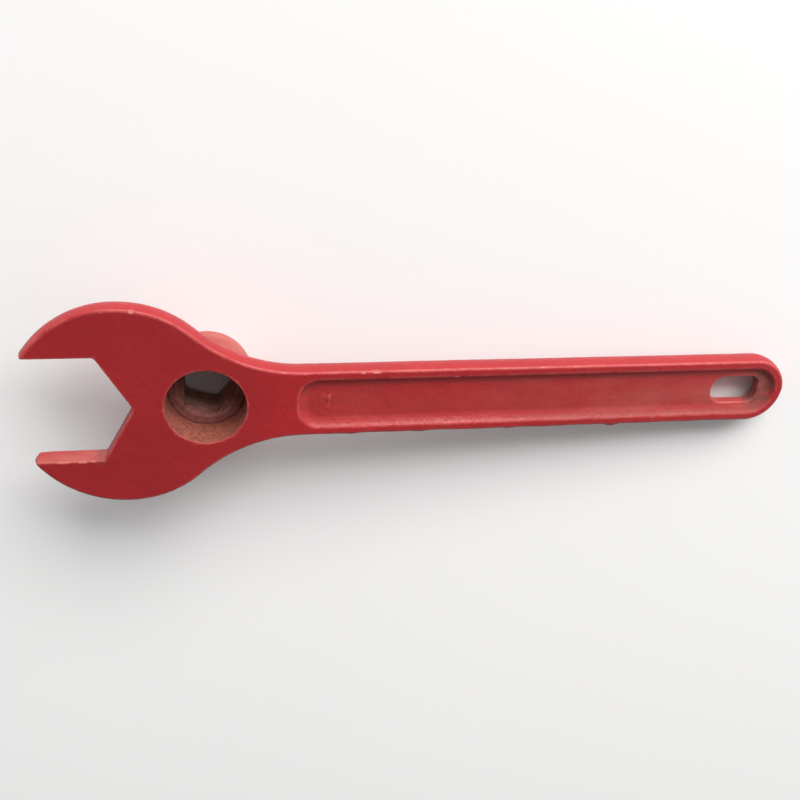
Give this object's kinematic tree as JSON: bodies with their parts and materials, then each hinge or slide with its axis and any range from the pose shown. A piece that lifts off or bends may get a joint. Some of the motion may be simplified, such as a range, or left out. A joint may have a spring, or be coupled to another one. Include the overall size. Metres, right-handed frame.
{
  "type": "fire hydrant wrench",
  "caption": "Red cast fire hydrant wrench with an open hexagon jaw, a bored boss holding a five-sided drive socket, and a recessed handle with a hang slot.",
  "frame": {"origin": "middle of the length and width, level with the boss's rear rim, which is the lowest point", "axes": "+X along the handle from the jaw to the hang slot, +Y across the handle, +Z out of the flat front face, so the boss points down as it does on a hydrant's nut"},
  "size_m": [0.3975, 0.1076, 0.045],
  "materials": {
    "red_paint": "satin",
    "socket_steel": "matte",
    "pin_steel": "satin"
  },
  "bodies": {
    "root": {"wrench_body": "red_paint", "drive_socket": "socket_steel", "lock_pin_upper": "pin_steel", "lock_pin_lower": "pin_steel"}
  },
  "joints": []
}
